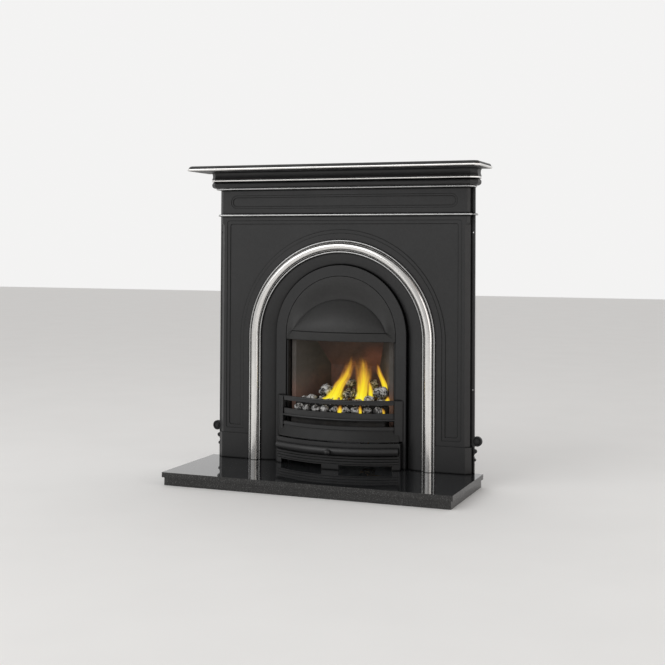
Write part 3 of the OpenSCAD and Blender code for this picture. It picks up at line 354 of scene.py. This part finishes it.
# Sooty sheet inside the firebox
soot = Finish("sooted_steel", Metallic=0.2)
soot.colour(soot.mix(soot.spread(soot.noise(18, detail=4)), (0.010, 0.010, 0.010),
                     (0.035, 0.031, 0.028)))
soot.rough(soot.spread(soot.noise(30, detail=3), 0.55, 0.8))

concrete = Finish("concrete")
concrete.colour(concrete.mix(concrete.spread(concrete.noise(9, detail=5, rough=0.65)),
                             (0.28, 0.275, 0.26), (0.40, 0.39, 0.37)))
concrete.rough(concrete.spread(concrete.noise(60, detail=3), 0.8, 0.95))
concrete.bump(concrete.noise(160, detail=5, rough=0.7), distance=0.0015, strength=0.6)
concrete.bump(concrete.span(concrete.cells(120), 0.0, 0.28), distance=0.002, strength=0.5)

knob_plastic = Finish("black_plastic")
knob_plastic.colour(knob_plastic.mix(knob_plastic.noise(35, detail=3), (0.018, 0.018, 0.019),
                                     (0.028, 0.028, 0.03)))
knob_plastic.rough(knob_plastic.spread(knob_plastic.noise(120, detail=3), 0.38, 0.5))
knob_plastic.bump(knob_plastic.noise(1500, detail=2), distance=0.00015, strength=0.5)


# ---------------------------------------------------------------- the CAD nodes' finishes

def paint(material, *names):
    for name in names:
        slots = nodes[name].data.materials
        slots.clear()
        slots.append(material)


paint(black_iron, "mantel_surround", "mantel_shelf", "arch_insert")
paint(hood_iron, "canopy_hood")
paint(fire_iron, "front_bars", "ash_cover", "cover_knob")
paint(knob_plastic.material, "control_knob")
paint(polished_iron, "polished_arch")
paint(granite, "hearth_slab")
paint(honed, "front_riser", "left_riser", "right_riser", "slab_supports")
paint(concrete.material, "back_hearth")
paint(steel_sheet, "firebox", "flue_collar", "burner_tray", "burner_legs", "valve_bracket")
paint(zinc, "bar_hooks", "shelf_bolts", "arch_bolts", "firebox_bolts")
paint(cheek_ceramic, "left_cheek", "right_cheek")
paint(back_ceramic, "fireback")
paint(bed_ceramic, "fuel_bed_base")
paint(front_coal, "front_coals")
paint(loose_coal, "loose_coals")
paint(brass, "pilot_assembly", "gas_valve", "control_spindle", "gas_feed_pipe", "inlet_fitting",
      "burner_pipe")


def repaint(name, material, chosen):
    """Gives the node's faces that are chosen by centre, in millimetres, and normal a material."""
    mesh = nodes[name].data
    mesh.materials.append(material)
    index = len(mesh.materials) - 1
    for face in mesh.polygons:
        c, n = face.center, face.normal
        if chosen(c.x * 1000, (c.y - WALL_Y) * 1000, (c.z - HEARTH) * 1000, n):
            face.material_index = index


# The mantel's body, which has canted corners, and the polished nose of the shelf above it
BODY_HALF, BODY_DEPTH, BODY_CANT = 544, 42, 3.5
SHELF_HALF, SHELF_DEPTH, SHELF_CANT = 625, 212, 18
NOSE_LOW, NOSE_HIGH, NOSE_DEEP, NOSE_DEEP_AT_CANT = 1204.1, 1212, 7, 9

# The crown's bright mouldings: middle's height, half height, and where their face begins,
# as a distance out from the body
UPPER_BEAD = (1170, 3.8, 27)
LOWER_BEAD = (1134.5, 3.3, 3)
ASTRAGAL = (1024, 3.0, 1.5)

# Top of the slope below the bars, which is painted as shade, and the inside of the firebox
APRON_TOP = 196
FIREBOX_HALF, FIREBOX_BACK, FIREBOX_LOW, FIREBOX_HIGH = 231.5, 203.5, 103, 598


def proud(x, y):
    """How far a point stands out from the mantel's body."""
    x = abs(x)
    across_cant = (x - y - (BODY_HALF + BODY_DEPTH - BODY_CANT)) / math.sqrt(2)
    return max(x - BODY_HALF, -y - BODY_DEPTH, across_cant)


def on_moulding(middle, half_height, least):
    return lambda x, y, z, n: abs(z - middle) < half_height and proud(x, y) > least


def on_nose(x, y, z, n):
    x = abs(x)
    cant_edge = SHELF_HALF + SHELF_DEPTH - SHELF_CANT - NOSE_DEEP_AT_CANT
    return NOSE_LOW < z < NOSE_HIGH and (
        x > SHELF_HALF - NOSE_DEEP or -y > SHELF_DEPTH - NOSE_DEEP or x - y > cant_edge)


def in_firebox(x, y, z, n):
    return abs(x) < FIREBOX_HALF and y < FIREBOX_BACK and FIREBOX_LOW < z < FIREBOX_HIGH


repaint("mantel_surround", polished_iron, on_moulding(*UPPER_BEAD))
repaint("mantel_surround", burnished_iron, on_moulding(*LOWER_BEAD))
repaint("mantel_surround", burnished_iron, on_moulding(*ASTRAGAL))
repaint("mantel_shelf", polished_iron, on_nose)
# Painted shade: the upward-facing slope below the bars takes the darker, duller iron, so it
# reflects less of the pale floor
repaint("front_bars", painted_shade_iron,
        lambda x, y, z, n: n.z > 0.2 and n.y < -0.2 and z < APRON_TOP)
repaint("hearth_slab", honed, lambda x, y, z, n: abs(n.z) < 0.5)
repaint("firebox", soot.material, in_firebox)


def fine_arris(name, width):
    modifier = nodes[name].modifiers.new("arris", "BEVEL")
    modifier.width = width
    modifier.segments = 2
    modifier.limit_method = "ANGLE"
    modifier.angle_limit = math.radians(40)


for stone in ("hearth_slab", "front_riser", "left_riser", "right_riser"):
    fine_arris(stone, 0.0012)


def smooth_facets(name, degrees):
    """Shades a curved casting's small facets as one smooth surface."""
    same_point = 2e-6
    group = bpy.data.node_groups.new("smooth_" + name, "GeometryNodeTree")
    for way in ("INPUT", "OUTPUT"):
        group.interface.new_socket("Geometry", in_out=way, socket_type="NodeSocketGeometry")
    source, result, weld, shade, normal, angle, compare = [group.nodes.new(kind) for kind in (
        "NodeGroupInput", "NodeGroupOutput", "GeometryNodeMergeByDistance",
        "GeometryNodeSetShadeSmooth", "GeometryNodeSetMeshNormal",
        "GeometryNodeInputMeshEdgeAngle", "FunctionNodeCompare")]
    weld.inputs["Distance"].default_value = same_point
    shade.domain = "FACE"
    shade.inputs["Shade Smooth"].default_value = True
    compare.data_type = "FLOAT"
    compare.operation = "GREATER_THAN"
    compare.inputs[1].default_value = math.radians(degrees)
    normal.inputs["Remove Custom"].default_value = True
    for output, socket in (
            (source.outputs[0], weld.inputs["Geometry"]),
            (weld.outputs[0], shade.inputs["Geometry"]),
            (shade.outputs[0], normal.inputs["Mesh"]),
            (angle.outputs["Unsigned Angle"], compare.inputs[0]),
            (compare.outputs[0], normal.inputs["Edge Sharpness"]),
            (normal.outputs[0], result.inputs[0])):
        group.links.new(output, socket)
    nodes[name].modifiers.new("smooth_facets", "NODES").node_group = group


smooth_facets("canopy_hood", 16)


# ---------------------------------------------------------------- bright arch

def new_piece(name, mesh_maker, material, body="root"):
    mesh = bpy.data.meshes.new(name)
    shape = bmesh.new()
    mesh_maker(shape)
    for face in shape.faces:
        face.smooth = True
    shape.to_mesh(mesh)
    shape.free()
    piece = bpy.data.objects.new(name, mesh)
    bpy.context.scene.collection.objects.link(piece)
    mesh.materials.append(material)
    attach(piece, body)
    return piece


def arc(across, forward, radius, start, end, steps):
    """Points of a round in the arch's section, about its middle.

    Each is (distance from the arch's centre, distance forward of the wall).
    """
    angles = [math.radians(start + (end - start) * i / steps) for i in range(steps + 1)]
    return [(across + radius * math.cos(angle), forward + radius * math.sin(angle))
            for angle in angles]


# The arch: a roll between two rims, on a web that lies on the mantel's face
SPRING = 516
ROLL_AT, ROLL_R, ROLL_FORWARD = 379, 17, 43
OUTER_RIM, INNER_RIM, RIM_R, RIM_FORWARD = 402, 356, 3, 45
FACE_FORWARD = 42
ROLL_STEPS, RIM_STEPS, ARCH_STEPS = 40, 14, 96
ROLL_END = math.degrees(math.asin((RIM_FORWARD - ROLL_FORWARD) / ROLL_R))
ARCH_SECTION = ([(OUTER_RIM + RIM_R, FACE_FORWARD), (OUTER_RIM + RIM_R, RIM_FORWARD)]
                + arc(OUTER_RIM, RIM_FORWARD, RIM_R, 0, 180, RIM_STEPS)
                + arc(ROLL_AT, ROLL_FORWARD, ROLL_R, ROLL_END, 180 - ROLL_END, ROLL_STEPS)
                + arc(INNER_RIM, RIM_FORWARD, RIM_R, 0, 180, RIM_STEPS)
                + [(INNER_RIM - RIM_R, FACE_FORWARD)])
LEG_SHARES = (0, 0.35, 0.7)

# To either side of the roll's middle line, where the grooves begin and end and the rims begin,
# and how far forward of the wall the grooves' faces reach
GROOVE_FROM, GROOVE_TO, RIMS_FROM = 16, 20.4, 19.5
GROOVE_FORWARD = 46.3
POLISHED, OXIDISED, BURNISHED = 0, 1, 2


def bright_arch(shape):
    """The section swept up one leg, round the arch and down the other leg."""
    path = [(1, 0, SPRING * share) for share in LEG_SHARES]
    path += [(math.cos(math.pi * i / ARCH_STEPS), math.sin(math.pi * i / ARCH_STEPS), SPRING)
             for i in range(ARCH_STEPS + 1)]
    path += [(-1, 0, SPRING * share) for share in reversed(LEG_SHARES)]
    rings = [[shape.verts.new(from_wall(along * across, -forward, base + rise * across))
              for across, forward in ARCH_SECTION] for along, rise, base in path]
    count = len(ARCH_SECTION)
    for first, second in zip(rings, rings[1:]):
        for k in range(count):
            after = (k + 1) % count
            shape.faces.new((first[k], second[k], second[after], first[after]))
    shape.faces.new(rings[0])
    shape.faces.new(list(reversed(rings[-1])))
    bmesh.ops.recalc_face_normals(shape, faces=shape.faces)
    for face in shape.faces:
        centre = face.calc_center_median()
        rise = max(0.0, centre.z - HEARTH - SPRING / 1000)
        aside = abs(math.hypot(centre.x, rise) * 1000 - ROLL_AT)
        if centre.y > WALL_Y - GROOVE_FORWARD / 1000 and GROOVE_FROM < aside < GROOVE_TO:
            face.material_index = OXIDISED
        elif aside > RIMS_FROM:
            face.material_index = BURNISHED
        else:
            face.material_index = POLISHED


arch = new_piece("bright_arch", bright_arch, polished_iron)
arch.data.materials.append(groove.material)
arch.data.materials.append(burnished_iron)
arch.data.set_sharp_from_angle(angle=math.radians(35))
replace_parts(arch, "polished_arch")


# ---------------------------------------------------------------- coals

def islands(mesh):
    """Lowest and highest corner of each separate solid of a mesh."""
    same_point = 1e-6
    shape = bmesh.new()
    shape.from_mesh(mesh)
    bmesh.ops.remove_doubles(shape, verts=shape.verts, dist=same_point)
    left = set(shape.verts)
    found = []
    while left:
        stack = [left.pop()]
        low, high = stack[0].co.copy(), stack[0].co.copy()
        while stack:
            vert = stack.pop()
            for k in range(3):
                low[k] = min(low[k], vert.co[k])
                high[k] = max(high[k], vert.co[k])
            for edge in vert.link_edges:
                other = edge.other_vert(vert)
                if other in left:
                    left.discard(other)
                    stack.append(other)
        found.append((low, high))
    shape.free()
    return sorted(found, key=lambda box: (round(box[0].z, 4), box[0].x))


# Forms of a lump: how deep they are, as shares of its radius, and how often they come round it
FLATS = 6
FLAT_DEPTHS = (0.70, 0.92)
FLAT_BLEND = 0.05
SWELL, SWELL_RATE = 0.16, 1.6
RIDGE, RIDGE_RATE = 0.13, 3.4
CRUST, CRUST_RATE = 0.035, 8


def add_lump(shape, centre, half, seed, detail=4):
    """A rounded lump with flats, swells, ridges and a rough crust, inside its half sizes."""
    rng = random.Random(seed)
    turn = Euler([rng.uniform(0, math.tau) for _ in range(3)]).to_matrix()
    offset = Vector([rng.uniform(-50, 50) for _ in range(3)])
    flats = []
    for _ in range(FLATS):
        facing = Vector([rng.gauss(0, 1) for _ in range(3)]).normalized()
        flats.append((facing, rng.uniform(*FLAT_DEPTHS)))
    made = bmesh.ops.create_icosphere(shape, subdivisions=detail, radius=1.0)
    points = []
    for vert in made["verts"]:
        way = turn @ vert.co.normalized()
        reach = 1.0
        for facing, depth in flats:
            towards = way.dot(facing)
            if towards > 0.2:
                reach = min(reach, depth / towards + FLAT_BLEND)
        swell = noise.fractal(way * SWELL_RATE + offset, 0.9, 2.1, 3)
        ridge = abs(noise.noise(way * RIDGE_RATE + offset * 2))
        crust = noise.fractal(way * CRUST_RATE + offset, 0.7, 2.2, 4)
        reach *= 1 + SWELL * swell - RIDGE * ridge + CRUST * crust
        points.append((vert, vert.co.normalized() * reach))
    most = [max(abs(p[k]) for _, p in points) for k in range(3)]
    for vert, p in points:
        vert.co = centre + Vector([p[k] / most[k] * half[k] for k in range(3)])


def coal_set(name, grow, material):
    """One lump for each of the node's coals, wider and deeper than the CAD coal by grow."""
    boxes = islands(nodes[name].data)

    def make(shape):
        for i, (low, high) in enumerate(boxes):
            half = (high - low) / 2
            add_lump(shape, (low + high) / 2, [half.x * grow[0], half.y * grow[1], half.z],
                     100 * len(name) + i)

    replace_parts(new_piece(name + "_lumps", make, material), name)


coal_set("front_coals", (1.34, 1.06), front_coal)
coal_set("loose_coals", (1.16, 1.12), loose_coal)

# The fuel bed: axis and half width of its bow, and the edge's radius and top of its two tiers
BOW_Y = 356.2
BED_HALF = 188
TIERS = ((424, 246), (376, 262))
CHIPS_PER_TIER = 19
CHIP_STEP = 21.525
CHIP_DETAIL = 3


def coal_chips(shape):
    """Chips of coal along the front edges of the fuel bed's tiers."""
    rng = random.Random(5)
    for edge, top in TIERS:
        for i in range(CHIPS_PER_TIER):
            along = (i - CHIPS_PER_TIER // 2) * CHIP_STEP + rng.uniform(-7, 7)
            size = rng.uniform(5.5, 9.5)
            back = edge - size - rng.uniform(3, 12)
            turn = along / back
            x = back * math.sin(turn)
            if abs(x) > BED_HALF - size:
                continue
            half = [size * rng.uniform(0.9, 1.3) / 1000, size / 1000, size * 0.8 / 1000]
            add_lump(shape, from_wall(x, BOW_Y - back * math.cos(turn), top + size * 0.7), half,
                     900 + top + i, CHIP_DETAIL)


new_piece("coal_chips", coal_chips, loose_coal)


# ---------------------------------------------------------------- flames

def flame_finish():
    """Glowing gas that thins out to the sides and the tip.

    The vertices carry rise, 0 at the foot and 1 at the tip, and core, 1 on the middle line.
    """
    made = Finish("flame")
    rise = made.add("ShaderNodeAttribute", attribute_name="rise").outputs["Fac"]
    core = made.add("ShaderNodeAttribute", attribute_name="core").outputs["Fac"]
    tall = made.stretched(1, 1, 0.3)
    streak = made.spread(made.noise(34, detail=3, rough=0.55, distortion=0.8, vector=tall), -1, 1)
    wavy = made.maths("ADD", rise, made.maths("MULTIPLY", streak, 0.13))
    thick = made.maths("ADD", core, made.maths("MULTIPLY", streak, 0.16))
    heat = made.maths("SUBTRACT", made.maths("ADD", made.maths("MULTIPLY", thick, 0.45), 0.54),
                      made.maths("MULTIPLY", wavy, 0.88))
    burning = made.add("ShaderNodeEmission")
    made.link(made.ramp(heat, (0.0, (0.36, 0.10, 0.03)), (0.22, (0.62, 0.26, 0.04)),
                        (0.42, (0.86, 0.50, 0.045)), (0.62, (0.95, 0.72, 0.03)),
                        (0.85, (1.0, 0.86, 0.04)), (1.0, (1.0, 0.92, 0.16))),
              burning.inputs["Color"])
    clear = made.add("ShaderNodeBsdfTransparent")
    both = made.add("ShaderNodeMixShader")
    sideways = made.span(thick, 0.04, 0.62, smooth=True)
    upward = made.maths("MULTIPLY", made.span(wavy, 0.22, 0.95, 1.0, 0.0, smooth=True),
                        made.span(rise, 0.8, 1.0, 1.0, 0.0))
    density = made.maths("MULTIPLY", made.maths("MULTIPLY", sideways, upward), 0.93)
    made.link(density, both.inputs[0])
    made.link(clear.outputs[0], both.inputs[1])
    made.link(burning.outputs[0], both.inputs[2])
    made.link(both.outputs[0], made.tree.nodes["Material Output"].inputs["Surface"])
    made.tree.nodes.remove(made.shader)
    return made.material


flame_skin = flame_finish()

# Each flame is a few ribbons: more see-through layers than these turn black in the render
RIBBON_DEGREES = (21, 81, 141)
RIBBON_ROWS = 32
RIBBON_COLUMNS = 12
RIBBON_GAIN = 1.12
RIBBON_RAGGED = 0.16
LEAST_HALF_WIDTH = 0.3


def curve_point(stations, share):
    """A point on the smooth curve through the stations, at that share of its length."""
    t = share * (len(stations) - 1)
    k = min(int(t), len(stations) - 2)
    f = t - k
    before, a, b = stations[max(k - 1, 0)], stations[k], stations[k + 1]
    after = stations[min(k + 2, len(stations) - 1)]
    return [0.5 * (2 * a[j] + (b[j] - before[j]) * f
                   + (2 * before[j] - 5 * a[j] + 4 * b[j] - after[j]) * f * f
                   + (3 * a[j] - before[j] - 3 * b[j] + after[j]) * f ** 3)
            for j in range(len(a))]


def add_flame(shape, stations):
    """Ribbons that cross on a line through stations, each (x, z, y, half width)."""
    rise = shape.verts.layers.float.new("rise")
    core = shape.verts.layers.float.new("core")
    for angle in RIBBON_DEGREES:
        way = Vector((math.cos(math.radians(angle)), math.sin(math.radians(angle)), 0))
        grid = []
        for i in range(RIBBON_ROWS + 1):
            x, z, y, wide = curve_point(stations, i / RIBBON_ROWS)
            wide = max(LEAST_HALF_WIDTH, wide) * RIBBON_GAIN
            row = []
            for c in range(RIBBON_COLUMNS + 1):
                side = 2 * c / RIBBON_COLUMNS - 1
                ragged = noise.noise(Vector((side * 0.8, angle * 0.3, i * 0.17 + x * 0.02)))
                reach = wide * side * (1 + RIBBON_RAGGED * ragged)
                vert = shape.verts.new(from_wall(*(Vector((x, y, z)) + way * reach)))
                vert[rise] = i / RIBBON_ROWS
                vert[core] = 1 - abs(side) ** 1.9
                row.append(vert)
            grid.append(row)
        for low, high in zip(grid, grid[1:]):
            for c in range(RIBBON_COLUMNS):
                shape.faces.new((low[c], low[c + 1], high[c + 1], high[c]))


FLAMES = {
    "flame_left": [(-50, 260, -6, 50), (-34, 280, -8, 33), (-22, 305, -6, 25), (-8, 332, -4, 24),
                   (13, 363, 0, 24), (24, 394, 4, 23), (31, 426, 6, 22), (36, 458, 8, 13)],
    "flame_middle": [(80, 260, -8, 28), (83, 285, -8, 23), (87, 310, -6, 24), (90, 337, -4, 26),
                     (90, 366, 0, 33), (88, 396, 4, 39), (82, 430, 8, 40), (72, 468, 12, 26)],
    "flame_right": [(182, 300, 18, 8), (176, 322, 18, 12), (165, 350, 20, 12),
                    (152, 378, 22, 11), (144, 402, 24, 9), (138, 420, 25, 4)],
    "flame_low": [(129, 268, -20, 9), (128, 296, -20, 10), (125, 322, -18, 9),
                  (121, 338, -16, 6), (119, 350, -16, 2)],
    "flame_end": [(202, 262, -30, 11), (204, 274, -30, 10), (206, 286, -30, 6),
                  (207, 294, -30, 2)],
    "flame_under_middle": [(25, 214, -100, 6), (25, 226, -101, 10), (25, 238, -101, 10),
                           (25, 250, -100, 8), (25, 266, -98, 3)],
    "flame_under_right": [(107, 214, -88, 5), (107, 226, -89, 8), (107, 238, -89, 8),
                          (107, 250, -88, 6), (107, 266, -86, 3)],
    "flame_under_end": [(182, 212, -46, 12), (183, 218, -47, 17), (184, 228, -47, 17),
                        (185, 238, -46, 12), (186, 246, -44, 5)],
}
for name, stations in FLAMES.items():
    new_piece(name, lambda shape: add_flame(shape, stations), flame_skin)


# ---------------------------------------------------------------- camera: the photograph's place

CAM_PLACE = (1.7268, -4.4728, 0.92781)
CAM_TURN = math.radians(21.138)
CAM_PITCH = math.radians(0.876)
CAM_ROLL = math.radians(0.328)
CAM_LENS = 64.351
CAM_SENSOR = 36.0
CAM_SHIFT_Y = -0.15
CAM_REACH = 60.0

forward = Vector((-math.sin(CAM_TURN) * math.cos(CAM_PITCH),
                  math.cos(CAM_TURN) * math.cos(CAM_PITCH), math.sin(CAM_PITCH)))
level_right = Vector((math.cos(CAM_TURN), math.sin(CAM_TURN), 0.0))
level_up = level_right.cross(forward)
right = level_right * math.cos(CAM_ROLL) + level_up * math.sin(CAM_ROLL)
up = level_up * math.cos(CAM_ROLL) - level_right * math.sin(CAM_ROLL)
camera_data = bpy.data.cameras.new("camera")
camera_data.lens = CAM_LENS
camera_data.sensor_width = CAM_SENSOR
camera_data.shift_y = CAM_SHIFT_Y
camera_data.clip_end = CAM_REACH
camera = bpy.data.objects.new("camera", camera_data)
bpy.context.scene.collection.objects.link(camera)
camera.matrix_world = Matrix((
    (right.x, up.x, -forward.x, CAM_PLACE[0]),
    (right.y, up.y, -forward.y, CAM_PLACE[1]),
    (right.z, up.z, -forward.z, CAM_PLACE[2]),
    (0, 0, 0, 1)))
bpy.context.scene.camera = camera


# ---------------------------------------------------------------- studio

FLOOR_HALF = 20
floor_mesh = bpy.data.meshes.new("floor")
floor_mesh.from_pydata([(-FLOOR_HALF, -FLOOR_HALF, 0), (FLOOR_HALF, -FLOOR_HALF, 0),
                        (FLOOR_HALF, FLOOR_HALF, 0), (-FLOOR_HALF, FLOOR_HALF, 0)],
                       [], [(0, 1, 2, 3)])
floor = bpy.data.objects.new("floor", floor_mesh)
bpy.context.scene.collection.objects.link(floor)
pale = Finish("floor", Roughness=0.9)
pale.colour(pale.mix(pale.noise(3, detail=3), (0.80, 0.795, 0.785), (0.84, 0.835, 0.825)))
floor.data.materials.append(pale.material)

world = bpy.data.worlds.new("studio")
bpy.context.scene.world = world
world.use_nodes = True
tree = world.node_tree
background = tree.nodes["Background"]
place = tree.nodes.new("ShaderNodeTexCoord")
split = tree.nodes.new("ShaderNodeSeparateXYZ")
tree.links.new(place.outputs["Generated"], split.inputs[0])


def sky_span(axis, low, high, to_low=0.0, to_high=1.0):
    """Changes smoothly over the directions that lie between two values of an axis."""
    made = tree.nodes.new("ShaderNodeMapRange")
    made.interpolation_type = "SMOOTHSTEP"
    tree.links.new(split.outputs[axis], made.inputs["Value"])
    made.inputs["From Min"].default_value = low
    made.inputs["From Max"].default_value = high
    made.inputs["To Min"].default_value = to_low
    made.inputs["To Max"].default_value = to_high
    return made.outputs[0]


# The light from behind the camera is weaker, and the room's right side dimmer and warmer
tree.links.new(sky_span("Y", -0.7, 0.3, 0.50, 0.90), background.inputs["Strength"])
tint = tree.nodes.new("ShaderNodeMix")
tint.data_type = "RGBA"
tree.links.new(sky_span("X", 0.35, 0.85), tint.inputs[MIX_SHARE])
tint.inputs[MIX_A].default_value = (1.0, 0.995, 0.99, 1)
tint.inputs[MIX_B].default_value = (0.50, 0.44, 0.40, 1)
tree.links.new(tint.outputs[MIX_RESULT], background.inputs["Color"])


def softbox(name, place, target, wide, high, watts):
    data = bpy.data.lights.new(name, "AREA")
    data.shape = "RECTANGLE"
    data.size = wide
    data.size_y = high
    data.energy = watts
    lamp = bpy.data.objects.new(name, data)
    bpy.context.scene.collection.objects.link(lamp)
    lamp.location = place
    aim = Vector(target) - Vector(place)
    lamp.rotation_mode = "QUATERNION"
    lamp.rotation_quaternion = aim.to_track_quat("-Z", "Y")


softbox("key", (-2.6, -4.2, 3.6), target=(0, 0, 0.6), wide=5.0, high=4.0, watts=101)
softbox("right_side", (4.2, -0.9, 1.7), target=(0.3, 0, 0.7), wide=3.0, high=3.0, watts=30)
bpy.context.scene.view_settings.view_transform = "Standard"
